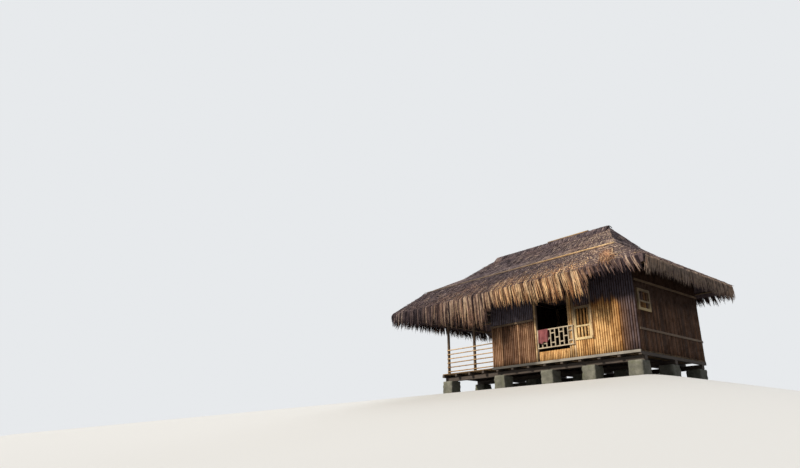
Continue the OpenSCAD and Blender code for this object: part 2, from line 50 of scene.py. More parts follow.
# House coordinates: x from the room's left wall, y from the front wall's outer face, z from the ground
HOUSE, PANELS_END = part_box("front_wall_left")
FLOOR = HOUSE.z
WALL_TOP = PANELS_END.z
WALL_T = PANELS_END.y - HOUSE.y
WALL_MIDDLE = WALL_T / 2
ROOM_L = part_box("house_floor")[1].x - HOUSE.x
ROOM_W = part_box("house_floor")[1].y - HOUSE.y


def at_house(x, y, z):
    return Vector((HOUSE.x + x, HOUSE.y + y, z))


def show(name, data):
    """New object in the scene."""
    made = bpy.data.objects.new(name, data)
    bpy.context.scene.collection.objects.link(made)
    return made


# Camera, in house coordinates and degrees

CAMERA_PLACE = (12.632, -14.288, -1.688)
CAMERA_HEADING = 49.88
CAMERA_PITCH = 19.21
FOCAL_PIXELS = 620
SENSOR = 36
VIEW_END = 300


def make_camera():
    data = bpy.data.cameras.new("camera")
    data.sensor_width = SENSOR
    data.lens = SENSOR * FOCAL_PIXELS / IMAGE_WIDTH
    data.clip_end = VIEW_END
    camera = show("camera", data)
    camera.location = at_house(*CAMERA_PLACE)
    camera.rotation_euler = (math.radians(90 + CAMERA_PITCH), 0, math.radians(CAMERA_HEADING))
    bpy.context.scene.camera = camera


make_camera()


# Meshes

class Builder:
    """Collects points, faces and point values for one piece."""

    def __init__(self):
        self.points = []
        self.quads = []
        self.triangles = []
        self.values = {}
        self.count = 0

    def add(self, points, quads, triangles=(), **values):
        points = np.asarray(points, float).reshape(-1, 3)
        self.quads.append(np.asarray(quads, int).reshape(-1, 4) + self.count)
        self.triangles.append(np.asarray(triangles, int).reshape(-1, 3) + self.count)
        for name, value in values.items():
            self.values.setdefault(name, []).append(value)
        self.points.append(points)
        self.count += len(points)

    def piece(self, name, material, slot, replaces=()):
        """Smooth piece that rides on the house, or a flat-shaded one where it is thatch."""
        mesh = bpy.data.meshes.new(name)
        faces = np.concatenate(self.quads).tolist() + np.concatenate(self.triangles).tolist()
        mesh.from_pydata(np.concatenate(self.points).tolist(), [], faces)
        for key, parts in self.values.items():
            attribute = mesh.attributes.new(key, "FLOAT", "POINT")
            attribute.data.foreach_set("value", np.concatenate(parts).astype(np.float32))
        mesh.validate()
        mesh.polygons.foreach_set("use_smooth", np.full(len(mesh.polygons), slot != "thatch"))
        mesh.materials.append(material)
        piece = show(name, mesh)
        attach(piece, "root")
        if replaces:
            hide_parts(*replaces)
        return piece


def unit(vectors):
    return vectors / np.maximum(np.linalg.norm(vectors, axis=-1, keepdims=True), 1e-9)


def grid_faces(columns, rows):
    """Quads of a grid whose points run row by row."""
    wide = columns + 1
    return [[j * wide + i, j * wide + i + 1, (j + 1) * wide + i + 1, (j + 1) * wide + i]
            for j in range(rows) for i in range(columns)]


def tube_faces(rings, sides):
    """Quads between rings of points that follow each other."""
    ring, side = np.meshgrid(np.arange(rings - 1), np.arange(sides), indexing="ij")
    after = (side + 1) % sides
    return np.stack([ring * sides + side, ring * sides + after,
                     (ring + 1) * sides + after, (ring + 1) * sides + side], -1).reshape(-1, 4)


def across(direction):
    """Two unit vectors square to the direction."""
    helper = np.array([0.0, 0.0, 1.0]) if abs(direction[2]) < 0.9 else np.array([1.0, 0.0, 0.0])
    first = unit(np.cross(direction, helper))
    return first, np.cross(first, direction)


# A culm's nodes: sizes of the ring and of the neck above it, how far the rows beside it are, and their places
NODE_RISE = 1.09
NODE_NECK = 0.97
NODE_BELOW = 0.014
NODE_ABOVE = 0.011
NODE_FIRST = (0.05, 0.3)
NODE_PITCH = (0.24, 0.38)
NODE_CLEAR = 0.04
# A culm's cut ends: size of the hollow, and its depth
HOLLOW = 0.72
CUP = 0.03
CUP_FULL_LENGTH = 0.2
# How narrowly the painted seam shade keeps to a culm's sides
SEAM_SHARPNESS = 2.6


def culm_rows(length, taper, rng):
    """Rows of points along a culm: place, scale of the section, and marks on node rings and cut ends."""
    rows = [(0, HOLLOW, 0, 1), (0, HOLLOW, 0, 1), (0, 1, 0, 0)]
    at = rng.uniform(*NODE_FIRST)
    while at < length - NODE_CLEAR:
        rows += [(at - NODE_BELOW, 1, 0, 0), (at, NODE_RISE, 1, 0), (at + NODE_ABOVE, NODE_NECK, 0, 0)]
        at += rng.uniform(*NODE_PITCH)
    rows += [(length, 1, 0, 0), (length, HOLLOW, 0, 1), (length, HOLLOW, 0, 1)]
    spots, scales, rings, cuts = np.array(rows, float).T
    return spots, scales * (1 - taper * spots / length), rings, cuts


def culm(builder, p, q, rx, ry, rng, sides=8, bend=0.003, taper=0.04, tint=None, first=None, seam=0.0):
    """Bamboo culm from p to q, slightly bent, with node rings, hollow ends and painted shade along the seams
    at its sides.
    """
    p, q = np.array(p, float), np.array(q, float)
    length = np.linalg.norm(q - p)
    direction = (q - p) / length
    side, up = across(direction)
    if first is not None:
        side = np.array(first, float)
        up = np.cross(direction, side)
    spots, scales, rings, cuts = culm_rows(length, taper, rng)
    depths = np.zeros(len(spots))
    depths[0] = CUP * min(1, length / CUP_FULL_LENGTH)
    depths[-1] = -depths[0]
    phase = rng.uniform(0, 2 * math.pi)
    sway = np.sin(spots / length * math.pi)[:, None] * bend
    axis = p + (spots + depths)[:, None] * direction + sway * (np.cos(phase) * side + np.sin(phase) * up)
    angles = np.arange(sides) * 2 * math.pi / sides
    section = np.cos(angles)[:, None] * side * rx + np.sin(angles)[:, None] * up * ry
    points = axis[:, None] + scales[:, None, None] * section
    count = len(spots)
    rim = tube_faces(2, sides)[:, :2]
    low_end = np.insert(rim[:, ::-1], 2, count * sides, 1)
    high_end = np.insert(rim + (count - 1) * sides, 2, count * sides + 1, 1)
    tones = np.atleast_1d(rng.uniform() if tint is None else tint)
    shades = np.interp(spots, np.linspace(0, length, len(tones)), tones)
    # Painted shade toward the sides where the culm meets its neighbours
    painted_seam_shade = seam * np.abs(np.cos(angles)) ** SEAM_SHARPNESS

    def spread(values):
        return np.concatenate([np.repeat(values, sides), values[[0, -1]]])

    builder.add(np.concatenate([points.reshape(-1, 3), points[[0, -1]].mean(1)]), tube_faces(count, sides),
                [low_end, high_end], tint=spread(shades), ring=spread(rings),
                seam=np.append(np.tile(painted_seam_shade, count), [0, 0]), cut=spread(cuts))


def islands(name):
    """The separate solids of a CAD node, each as an array of its points."""
    work = bmesh.new()
    work.from_mesh(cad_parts[name].data)
    bmesh.ops.remove_doubles(work, verts=work.verts, dist=1e-5)
    seen, found = set(), []
    for start in work.verts:
        if start in seen:
            continue
        group = [start]
        seen.add(start)
        for here in group:
            for other in [edge.other_vert(here) for edge in here.link_edges]:
                if other not in seen:
                    seen.add(other)
                    group.append(other)
        found.append(np.array([vert.co[:] for vert in group]))
    work.free()
    return found


def rods(name):
    """Ends and diameter of each round pole in a CAD node."""
    found = []
    for points in islands(name):
        centre = points.mean(0)
        axis = np.linalg.svd(points - centre, full_matrices=False)[2][0]
        if axis[np.argmax(abs(axis))] < 0:
            axis = -axis
        reach = (points - centre) @ axis
        radial = np.linalg.norm(points - centre - np.outer(reach, axis), axis=1)
        found.append((centre + reach.min() * axis, centre + reach.max() * axis, 2 * radial.max()))
    return sorted(found, key=lambda rod: tuple(np.round(rod[0], 4)))


# Materials

def new_material(name):
    """Material with its nodes and its object coordinates."""
    material = bpy.data.materials.new(name)
    material.use_nodes = True
    return material, material.node_tree, place(material.node_tree)


def put(tree, socket, value):
    """Links a socket to another one, or sets it to a value."""
    if isinstance(value, bpy.types.NodeSocket):
        tree.links.new(value, socket)
    else:
        socket.default_value = value


def node(tree, kind, inputs=None, **settings):
    """New shader node with its settings and its inputs."""
    made = tree.nodes.new(f"ShaderNode{kind}")
    for key, value in settings.items():
        setattr(made, key, value)
    for key, value in (inputs or {}).items():
        put(tree, made.inputs[key], value)
    return made


def attribute(tree, name):
    return node(tree, "Attribute", attribute_name=name).outputs["Fac"]


def ramp(tree, fac, stops):
    """Colours by the stops, where a single number is a grey."""
    made = node(tree, "ValToRGB", {"Fac": fac})
    elements = made.color_ramp.elements
    while len(elements) < len(stops):
        elements.new(0.5)
    for element, (spot, color) in zip(elements, stops):
        element.position = spot
        element.color = (*color, 1) if isinstance(color, tuple) else (color, color, color, 1)
    return made.outputs["Color"]


def mix(tree, fac, a, b, blend="MIX"):
    return node(tree, "Mix", {0: fac, 6: a, 7: b}, data_type="RGBA", blend_type=blend).outputs[2]


def shade(tree, fac, color, source, stops):
    """The colour multiplied by the stops' colours over the source."""
    return mix(tree, fac, color, ramp(tree, source, stops), "MULTIPLY")


def maths(tree, operation, a, b):
    return node(tree, "Math", {0: a, 1: b}, operation=operation).outputs[0]


def place(tree, scale=(1, 1, 1)):
    """Object coordinates, stretched."""
    coordinates = node(tree, "TexCoord").outputs["Object"]
    return node(tree, "Mapping", {"Vector": coordinates, "Scale": scale}).outputs["Vector"]


def grain(tree, vector, scale, detail=4.0, rough=0.6):
    inputs = {"Vector": vector, "Scale": scale, "Detail": detail, "Roughness": rough}
    return node(tree, "TexNoise", inputs).outputs["Fac"]


def finished(material, color, rough, bump=None, others=None):
    """The material with its colour, roughness, bump (height, strength, distance) and other inputs."""
    tree = material.node_tree
    inputs = {"Base Color": color, "Roughness": rough, **(others or {})}
    if bump:
        made = node(tree, "Bump", dict(zip(("Height", "Strength", "Distance"), bump)))
        inputs["Normal"] = made.outputs["Normal"]
    for key, value in inputs.items():
        put(tree, tree.nodes["Principled BSDF"].inputs[key], value)
    return material


GREY_THATCH = [(0.0, (0.042, 0.034, 0.044)), (0.35, (0.118, 0.096, 0.112)),
               (0.7, (0.225, 0.188, 0.202)), (1.0, (0.48, 0.39, 0.35))]
GOLD_THATCH = [(0.0, (0.05, 0.026, 0.018)), (0.35, (0.22, 0.105, 0.048)),
               (0.7, (0.56, 0.285, 0.125)), (1.0, (0.95, 0.64, 0.34))]
PATCH_SHADES = [(0.3, (0.66, 0.66, 0.7)), (0.5, 1.0), (0.72, (1.2, 1.1, 1.0))]
UNDERLAY_WARMTH = 0.15


def thatch_material(name, has_strands=True):
    """Dry leaves: weathered grey-brown on top, warmer where they hang, each strand with its own tone."""
    material, tree, where = new_material(name)
    patches = grain(tree, where, 1.1, 5.0)
    clumps = grain(tree, where, 9.0)
    fine = grain(tree, where, 70.0, 3.0)
    if has_strands:
        tone = attribute(tree, "tint")
        warmth = attribute(tree, "hang")
    else:
        tone = maths(tree, "MULTIPLY", grain(tree, place(tree, (30, 30, 4)), 1.6, 6.0), 0.7)
        warmth = UNDERLAY_WARMTH
    color = mix(tree, warmth, ramp(tree, tone, GREY_THATCH), ramp(tree, tone, GOLD_THATCH))
    color = shade(tree, 1.0, color, patches, PATCH_SHADES)
    color = shade(tree, 0.8, color, clumps, [(0.36, 0.6), (0.6, 1.15)])
    color = shade(tree, 0.6, color, fine, [(0.3, 0.65), (0.6, 1.12)])
    return finished(material, color, 0.88, (fine, 0.35, 0.01), {"Specular IOR Level": 0.12})


# A culm's colours on its rings and cut ends, its painted shade from its open face to its seam beside the next
# culm, and its shades across streaks
RING_SHADE = (0.66, 0.58, 0.5, 1)
CUT_COLOR = (0.1, 0.065, 0.04, 1)
PAINTED_SEAM_SHADES = [(0.0, 1.0), (0.4, (0.86, 0.7, 0.54)), (0.9, (0.1, 0.055, 0.04))]
STREAK_SHADES = [(0.32, (0.66, 0.62, 0.56)), (0.55, 1.0), (0.75, (1.18, 1.14, 1.05))]


def bamboo_material(name, tones):
    """Bamboo skin: a tone for each culm, streaks along it, dark rings at the nodes, stained cut ends, painted
    shade at its seams.
    """
    material, tree, where = new_material(name)
    stretched = place(tree, (60, 60, 3))
    stains = grain(tree, where, 5.0, 5.0)
    color = ramp(tree, attribute(tree, "tint"), tones)
    color = shade(tree, 0.8, color, grain(tree, stretched, 1.0), STREAK_SHADES)
    color = shade(tree, 0.7, color, stains, [(0.34, (0.45, 0.38, 0.33)), (0.52, 1.0)])
    color = mix(tree, attribute(tree, "ring"), color, RING_SHADE, "MULTIPLY")
    # Painted shade in the grooves between neighbouring culms
    color = shade(tree, 1.0, color, attribute(tree, "seam"), PAINTED_SEAM_SHADES)
    color = mix(tree, maths(tree, "MULTIPLY", attribute(tree, "cut"), 0.8), color, CUT_COLOR)
    gloss = ramp(tree, stains, [(0.3, 0.8), (0.7, 0.5)])
    fibres = grain(tree, stretched, 3.0, 2.0)
    return finished(material, color, gloss, (fibres, 0.25, 0.004), {"Specular IOR Level": 0.2})


# Shades of wood along an axis from a place on: a sill pale to the right, and painted eave shadow darkening
# the frames above
PALE_SILL = ("X", HOUSE.x + 1.55, [(0.0, 0.22), (0.25, 1.0)])
PAINTED_EAVE_SHADOW = ("Z", 1.62, [(0.0, 1.0), (0.25, (0.3, 0.27, 0.27))])


def timber_material(name, dark, light, rough=0.75, stretch=(2, 26, 26), fade=None):
    """Weathered wood with long grain and stains."""
    material, tree, where = new_material(name)
    lines = grain(tree, place(tree, stretch), 2.2, 6.0, 0.65)
    stains = grain(tree, where, 2.6, 5.0)
    color = ramp(tree, lines, [(0.3, dark), (0.68, light)])
    color = shade(tree, 0.75, color, stains, [(0.35, (0.6, 0.58, 0.56)), (0.6, (1.08, 1.06, 1.0))])
    if fade:
        axis, start, stops = fade
        spot = node(tree, "SeparateXYZ", {0: where}).outputs[axis]
        color = shade(tree, 1.0, color, maths(tree, "SUBTRACT", spot, start), stops)
    return finished(material, color, rough, (lines, 0.35, 0.006))


STONE_TONES = [(0.3, (0.11, 0.11, 0.085)), (0.52, (0.2, 0.195, 0.155)), (0.72, (0.31, 0.3, 0.25))]
MOSS_COLOR = (0.12, 0.13, 0.06, 1)


def stone_material():
    """Rough grey-green stone with mossy patches."""
    material, tree, where = new_material("rough_stone")
    broad = grain(tree, where, 3.0, 8.0, 0.65)
    fine = grain(tree, where, 60.0)
    moss = ramp(tree, grain(tree, where, 7.0, 6.0), [(0.52, 0.0), (0.68, 1.0)])
    color = mix(tree, maths(tree, "MULTIPLY", moss, 0.5), ramp(tree, broad, STONE_TONES), MOSS_COLOR)
    color = shade(tree, 0.7, color, fine, [(0.3, 0.65), (0.6, 1.1)])
    return finished(material, color, 0.93, (maths(tree, "ADD", broad, fine), 0.6, 0.02))


CLOTH_REDS = [(0.35, (0.19, 0.042, 0.048)), (0.65, (0.33, 0.088, 0.09))]
THREADS = 220.0


def cloth_material():
    """Faded red cotton with a fine weave."""
    material, tree, where = new_material("red_cotton")
    inputs = {"Vector": where, "Scale": THREADS}
    warp = node(tree, "TexWave", inputs, bands_direction="X").outputs["Fac"]
    weft = node(tree, "TexWave", inputs, bands_direction="Z").outputs["Fac"]
    weave = maths(tree, "MULTIPLY", warp, weft)
    color = ramp(tree, grain(tree, where, 9.0), CLOTH_REDS)
    color = shade(tree, 0.35, color, weave, [(0.2, 0.7), (0.8, 1.15)])
    return finished(material, color, 0.9, (weave, 0.4, 0.001), {"Sheen Weight": 0.3})


STRAND_THATCH = thatch_material("thatch_strands")
UNDER_THATCH = thatch_material("thatch_underlay", has_strands=False)
# The lowest stop, a bluish dark, is painted eave shade for the culm tops
BRIGHT_BAMBOO = bamboo_material("bright_bamboo", [
    (0.0, (0.105, 0.092, 0.125)), (0.15, (0.17, 0.105, 0.08)),
    (0.4, (0.54, 0.28, 0.095)), (1.0, (1.0, 0.67, 0.31))])
BROWN_BAMBOO = bamboo_material("brown_bamboo", [
    (0.0, (0.075, 0.042, 0.028)), (0.5, (0.27, 0.152, 0.092)), (1.0, (0.5, 0.32, 0.2))])
# Bluish dark tones: painted eave shade on the left wall's upper culms
PAINTED_SHADE_BAMBOO = bamboo_material("painted_shade_bamboo", [
    (0.0, (0.15, 0.14, 0.19)), (0.5, (0.27, 0.245, 0.31)), (1.0, (0.39, 0.34, 0.38))])
POLE_BAMBOO = bamboo_material("pole_bamboo", [
    (0.0, (0.11, 0.085, 0.07)), (0.3, (0.25, 0.18, 0.125)),
    (0.7, (0.53, 0.345, 0.165)), (1.0, (0.84, 0.61, 0.36))])
FLOOR_BAMBOO = bamboo_material("floor_bamboo", [
    (0.0, (0.16, 0.105, 0.065)), (0.5, (0.32, 0.215, 0.12)), (1.0, (0.48, 0.34, 0.19))])
DARK_TIMBER = timber_material("dark_timber", (0.03, 0.024, 0.022), (0.11, 0.08, 0.06))
SILL_TIMBER = timber_material("sill_timber", (0.2, 0.18, 0.16), (0.46, 0.43, 0.38), fade=PALE_SILL)
RAIL_TIMBER = timber_material("rail_bamboo", (0.1, 0.065, 0.042), (0.28, 0.18, 0.1), 0.65)
UPRIGHT_GRAIN = (14, 14, 3)
# Its frames darken above a height as painted eave shadow
CREAM_WOOD = timber_material(
    "cream_wood", (0.56, 0.4, 0.18), (0.92, 0.72, 0.4), 0.6, UPRIGHT_GRAIN, PAINTED_EAVE_SHADOW)
LATTICE_WOOD = timber_material("lattice_wood", (0.4, 0.32, 0.21), (0.7, 0.59, 0.43), 0.6, UPRIGHT_GRAIN)
STONE = stone_material()
CLOTH = cloth_material()


# Roof surface, from the CAD's outline and the heights of its courses and bends

ROOF_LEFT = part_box("thatch_left")[0].x
ROOF_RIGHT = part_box("thatch_right")[1].x
ROOF_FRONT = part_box("thatch_front")[0].y
ROOF_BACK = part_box("thatch_back")[1].y
ROOF_L = ROOF_RIGHT - ROOF_LEFT
ROOF_W = ROOF_BACK - ROOF_FRONT
RIDGE_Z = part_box("thatch_front")[1].z
RIDGE_LEFT, RIDGE_RIGHT = (corner.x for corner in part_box("ridge_beam"))
THATCH_DEPTH = 0.18
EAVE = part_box("thatch_front")[0].z + THATCH_DEPTH
LOWER_RUN = 1.55
LOWER_RISE = 1.06
BEND = 0.14
SHOULDER_RUN = 0.35
SADDLE_RUN = 1.55
SHOULDER_ROUND = 1.4
RIGHT_RUN = 1.6
LOWER_COURSES = 9
UPPER_COURSES = 4
TOP_COURSE = 0.21
COURSE_STEP = 0.03
RISE = RIDGE_Z - EAVE
UPPER_RUN = ROOF_W / 2 - LOWER_RUN
UPPER_RISE = RISE - LOWER_RISE
RIGHT_UPPER_RUN = ROOF_RIGHT - RIGHT_RUN - RIDGE_RIGHT
LEFT_UPPER_RUN = RIDGE_LEFT - ROOF_LEFT - SHOULDER_RUN - SADDLE_RUN
BEND_LOW = LOWER_RISE - BEND
BEND_HIGH = LOWER_RISE + BEND
COURSE_HEIGHTS = np.concatenate([
    np.linspace(0, BEND_LOW, LOWER_COURSES + 1),
    np.linspace(BEND_HIGH, RISE - TOP_COURSE, UPPER_COURSES + 1), [RISE]])
SLOPE_STEPS = 24


def two_pitch_run(h, lower, upper):
    low = BEND_LOW * lower / LOWER_RISE
    high = lower + BEND * upper / UPPER_RISE
    return np.interp(h, [0, BEND_LOW, BEND_HIGH, RISE], [0, low, high, lower + upper])


def side_run(h):
    return two_pitch_run(h, LOWER_RUN, UPPER_RUN)


def right_run(h):
    return two_pitch_run(h, RIGHT_RUN, RIGHT_UPPER_RUN)


def left_run(h):
    steep = SHOULDER_RUN * np.power(np.clip(np.asarray(h, float) / BEND_LOW, 0, 1), SHOULDER_ROUND)
    return steep + np.interp(h, [BEND_LOW, BEND_HIGH, RISE], [0, SADDLE_RUN, SADDLE_RUN + LEFT_UPPER_RUN])


# Rounding of the leaves over the eave, depth of the surface below it, and how far off its slope is measured
NOSE = 0.012
NOSE_STEPS = 6
HANG = 1.5
SLOPE_REACH = 0.03


class Surface:
    """Face swept along the house: points by the distance c along it and the distance t up its profile."""

    def __init__(self, origin, along, inward, profile, start):
        self.origin, self.along, self.inward, self.profile = (
            np.array(value, float) for value in (origin, along, inward, profile))
        steps = np.concatenate([[0], np.cumsum(np.linalg.norm(np.diff(self.profile, axis=0), axis=1))])
        self.steps = steps - steps[start]
        self.top = self.steps[-1]

    def at(self, t):
        return np.interp(t, self.steps, self.profile[:, 0]), np.interp(t, self.steps, self.profile[:, 1])

    def points(self, c, t, lift):
        """Places at c and t, lift off the surface."""
        run, height = self.at(t)
        up = unit(np.stack(self.at(t + SLOPE_REACH), -1) - np.stack(self.at(t - SLOPE_REACH), -1))
        run = run - up[..., 1] * lift
        height = height + up[..., 0] * lift
        return self.origin + c[..., None] * self.along + run[..., None] * self.inward \
            + height[..., None] * np.array([0, 0, 1.0])


class Side(Surface):
    """One side of the roof, with its eave at t = 0, a hanging part below that, and its neighbours' runs."""

    def __init__(self, name, origin, along, inward, run, before, after, length):
        heights = np.unique(np.concatenate([COURSE_HEIGHTS, np.linspace(0, BEND_LOW, SLOPE_STEPS)]))
        slope = np.stack([run(heights), heights], -1)
        first = slope[1] - slope[0]
        nose = [slope[0]]
        for angle in np.linspace(math.atan2(first[1], first[0]), math.pi / 2, NOSE_STEPS):
            nose.append(nose[-1] - NOSE * np.array([math.cos(angle), math.sin(angle)]))
        nose.append(nose[-1] - np.array([0, HANG]))
        super().__init__(origin, along, inward, np.concatenate([nose[:0:-1], slope]), len(nose) - 1)
        self.name = name
        self.before, self.after, self.length = before, after, length
        self.courses = np.interp(COURSE_HEIGHTS, self.profile[:, 1], self.steps)

    def extent(self, t):
        """Distance along the eave of the two hips at t."""
        height = np.clip(self.at(t)[1], 0, RISE)
        return self.before(height), self.length - self.after(height)

    def within(self, share, t):
        """Distance along the eave at a share of the way from hip to hip."""
        low, high = self.extent(t)
        return low + share * (high - low)

    def level(self, c, levels, plain):
        """Levels by the places along the front, and one plain level on the other sides."""
        return np.interp(c, TONE_PLACES, levels) if self.name == "front" else np.full(len(c), plain)


SIDES = {
    "front": Side("front", (ROOF_LEFT, ROOF_FRONT, EAVE), (1, 0, 0), (0, 1, 0),
        side_run, left_run, right_run, ROOF_L),
    "back": Side("back", (ROOF_RIGHT, ROOF_BACK, EAVE), (-1, 0, 0), (0, -1, 0),
        side_run, right_run, left_run, ROOF_L),
    "left": Side("left", (ROOF_LEFT, ROOF_BACK, EAVE), (0, -1, 0), (1, 0, 0),
        left_run, side_run, side_run, ROOF_W),
    "right": Side("right", (ROOF_RIGHT, ROOF_FRONT, EAVE), (0, 1, 0), (-1, 0, 0),
        right_run, side_run, side_run, ROOF_W),
}


# A leaf's width along its length, its thickness at root and tip as shares of its width, and its random twist
LEAF_SHARES = [0, 0.35, 0.75, 1]
LEAF_WIDTHS = [0.8, 1.0, 0.75, 0.15]
LEAF_THICKNESS = (0.22, 0.088)
LEAF_TWIST = 0.3
# Distances above and below the eave where a leaf folds, and limits to these as shares of the leaf's length
FOLD_NEAR = 0.02
FOLD_FAR = 0.05
FOLD_APART = 0.02
FOLD_MOST = (0.9, 0.95)
# Small lift that shows which way is outward
PROBE = 0.01


def fold_shares(t_root, t_tip, segments):
    """Stations along leaves that fold over the eave: the root, two by the eave, and the hanging part."""
    length = t_root - t_tip
    above = np.clip((t_root - FOLD_NEAR) / length, FOLD_APART, FOLD_MOST[0])
    below = np.clip((t_root + FOLD_FAR) / length, above + FOLD_APART, FOLD_MOST[1])
    hanging = below[:, None] + (1 - below[:, None]) * np.linspace(0, 1, segments - 1)
    return np.concatenate([np.zeros((len(length), 1)), above[:, None], hanging], axis=1)


def leaves(builder, surface, root, tip, lift, width, rng, segments, hang, tint, sway=0.0, fold=False):
    """Closed tapered strips on a surface, from root (c, t) to tip (c, t), with the lift at both ends."""
    count = len(tint)
    share = fold_shares(root[1], tip[1], segments) if fold else np.linspace(0, 1, segments + 1)

    def between(pair):
        first, last = (np.broadcast_to(value, count)[:, None] for value in pair)
        return first + (last - first) * share

    c = between((root[0], tip[0])) + sway * np.sin(share * math.pi) * rng.normal(0, 1, (count, 1))
    t = between((root[1], tip[1]))
    height = between(lift)
    spine = surface.points(c, t, height)
    tangent = unit(np.gradient(spine, axis=1))
    outward = unit(surface.points(c, t, height + PROBE) - spine)
    wide = unit(np.cross(tangent, outward))
    wide = unit(wide + rng.normal(0, LEAF_TWIST, (count, 1, 1)) * outward)
    face = np.cross(wide, tangent)
    half = (width[:, None] * np.interp(share, LEAF_SHARES, LEAF_WIDTHS) / 2)[..., None]
    thick = (width[:, None] * np.interp(share, [0, 1], LEAF_THICKNESS))[..., None]
    corners = np.stack([spine - wide * half, spine + wide * half, spine + face * thick], 2)
    rows = segments + 1
    last = segments * 3
    base = (np.arange(count) * rows * 3)[:, None, None]
    builder.add(corners, base + tube_faces(rows, 3), base + [[2, 1, 0], [last, last + 1, last + 2]],
                tint=np.repeat(np.clip(tint, 0, 1), rows * 3),
                hang=np.repeat(np.clip(between(hang), 0, 1).reshape(-1), 3))


def drifts(c, t, across_scale, along_scale, seed):
    """Slow noise over a surface, about -1 to 1."""
    return np.array([noise.noise(Vector((a * across_scale, b * along_scale, seed))) * 2
                     for a, b in zip(c, t)])


# Levels of the thatch by places along the front, those of the other sides, and how far up warmth reaches.
# Along the front the leaves are warm and light in the middle and darker and cooler toward the ends: partly
# their own weathering, partly painted sunlight and tree shade
TONE_PLACES = [0, 1.5, 3.2, 4.4, 5.1, 7.6, 7.9, 9.4]
WARM_LEVELS = [0.12, 0.28, 0.6, 0.6, 0.95, 1.0, 0.45, 0.35]
FRINGE_TONES = [-0.54, -0.42, -0.14, -0.04, 0.12, 0.16, -0.42, -0.4]
ROOT_LEVELS = [0.7, 0.7, 0.7, 0.8, 1.1, 0.7, 0.6, 0.7]
ROOF_TONES = [-0.06, -0.03, 0.00, 0.03, 0.12, 0.4, 0.4, 0.24]
TOP_WARMTHS = [0.05, 0.05, 0.05, 0.06, 0.1, 0.24, 0.26, 0.16]
TOP_WARMTH = 0.08
PLAIN_WARMTH = 0.26
# The right side's fringe is lighter as painted light, on a side that the key lamp leaves in shade
PLAIN_FRINGE_TONES = {"front": 0.0, "back": 0.25, "left": 0.1, "right": 0.65}
PLAIN_ROOT = 0.7
WARM_REACH = 1.4
# Leaves of the roof: distances, sizes and random shifts
ROW_PITCH = 0.105
LEAF_PITCH = 0.028
LEAF_LENGTH = (0.2, 0.42)
LEAF_WIDTH = (0.016, 0.04)
TIP_REACH = (-0.055, 0.084)
TIP_SCATTER = 0.035
TIP_STAND = (0.002, 0.02)
ROOT_SINK = 0.006
RIDGE_CLEAR = 0.01
HIP_SPILL = 0.02
# Their tones: the middle one, and what clumps, streaks (scales across and up, seed) and single leaves add
ROOF_TONE = 0.42
CLUMPS = (5.0, 5.0, 3.0)
CLUMP_TONE = 0.16
STREAKS = (20.0, 2.0, 7.0)
STREAK_TONE = 0.3
LEAF_TONE = 0.12
LIGHT_SHARE = 0.05
LIGHT_TONE = 0.5


def course_leaves(builder, side, rng, low, high, step):
    """Rows of leaves over one course, all riding on its raised lower edge."""
    rows = max(1, round((high - low) / ROW_PITCH))
    for row in range(rows):
        middle = low + (high - low) * row / rows
        ends = side.extent(max(middle, 0))
        count = max(3, int((ends[1] - ends[0]) / LEAF_PITCH))
        share = (np.arange(count) + rng.uniform(0, 1, count)) / count
        length = rng.uniform(*LEAF_LENGTH, count)
        t_tip = middle + rng.uniform(*TIP_REACH, count)
        t_root = np.minimum(t_tip + length, side.top - RIDGE_CLEAR)
        c_root = side.within(share, t_root)
        c_tip = side.within(share, np.maximum(t_tip, 0)) + rng.normal(0, TIP_SCATTER, count)
        ends = side.extent(np.maximum(t_tip, 0))
        c_tip = np.clip(c_tip, ends[0] - HIP_SPILL, ends[1] + HIP_SPILL)
        raised = [step * np.clip((high - t) / (high - low), 0, 1) for t in (t_root, t_tip)]
        clump = drifts(c_tip, t_tip, *CLUMPS)
        streak = drifts(c_tip, t_tip, *STREAKS)
        tint = ROOF_TONE + CLUMP_TONE * clump + STREAK_TONE * streak + rng.normal(0, LEAF_TONE, count)
        tint += side.level(c_tip, ROOF_TONES, 0.0)
        tint += LIGHT_TONE * (rng.uniform(0, 1, count) < LIGHT_SHARE)
        warm = np.clip(1 - t_tip / WARM_REACH, 0, 1) * side.level(c_tip, WARM_LEVELS, PLAIN_WARMTH)
        warm = np.maximum(warm * (0.8 + 0.5 * clump), side.level(c_tip, TOP_WARMTHS, TOP_WARMTH))
        leaves(builder, side, (c_root, t_root), (c_tip, t_tip),
               (raised[0] - ROOT_SINK, raised[1] + rng.uniform(*TIP_STAND, count)),
               rng.uniform(*LEAF_WIDTH, count), rng, 2, (warm, warm), tint)


def roof_leaves(name, seed):
    """Leaves over one side of the roof, course by course, the last one without a raised edge."""
    side = SIDES[name]
    rng = default_rng(seed)
    builder = Builder()
    last = len(side.courses) - 2
    for i in range(last + 1):
        step = COURSE_STEP if i < last else 0.0
        course_leaves(builder, side, rng, side.courses[i], side.courses[i + 1], step)
    builder.piece(f"thatch_{name}_leaves", STRAND_THATCH, "thatch")


# Tiers of the front fringe: where they start and end, and how far they hang below the eave there
FRINGE_TIERS = [(0.0, 4.39, 0.38, 1.1), (4.39, 7.8, 0.55, 0.82), (7.8, 9.41, 0.3, 0.42)]
PLAIN_DROP = 0.44
NOSE_EXTRA = 0.04
SPARSE_FROM = 7.85
SPARSE_SHARE = 0.48
# Layers of the fringe, back to front: distance between tufts, how far forward, tone (dark at the back as
# painted shade between the tufts), least and most reach as shares of the drop, least and most distance of the
# roots above the eave
FRINGE_LAYERS = [
    (0.036, -0.04, 0.0, 0.7, 0.96, 0.04, 0.3),
    (0.062, -0.015, 0.32, 0.8, 1.12, 0.08, 0.45),
    (0.06, 0.0, 0.6, 0.55, 1.08, 0.15, 0.6),
    (0.068, 0.015, 0.78, 0.4, 0.98, 0.2, 0.75)]
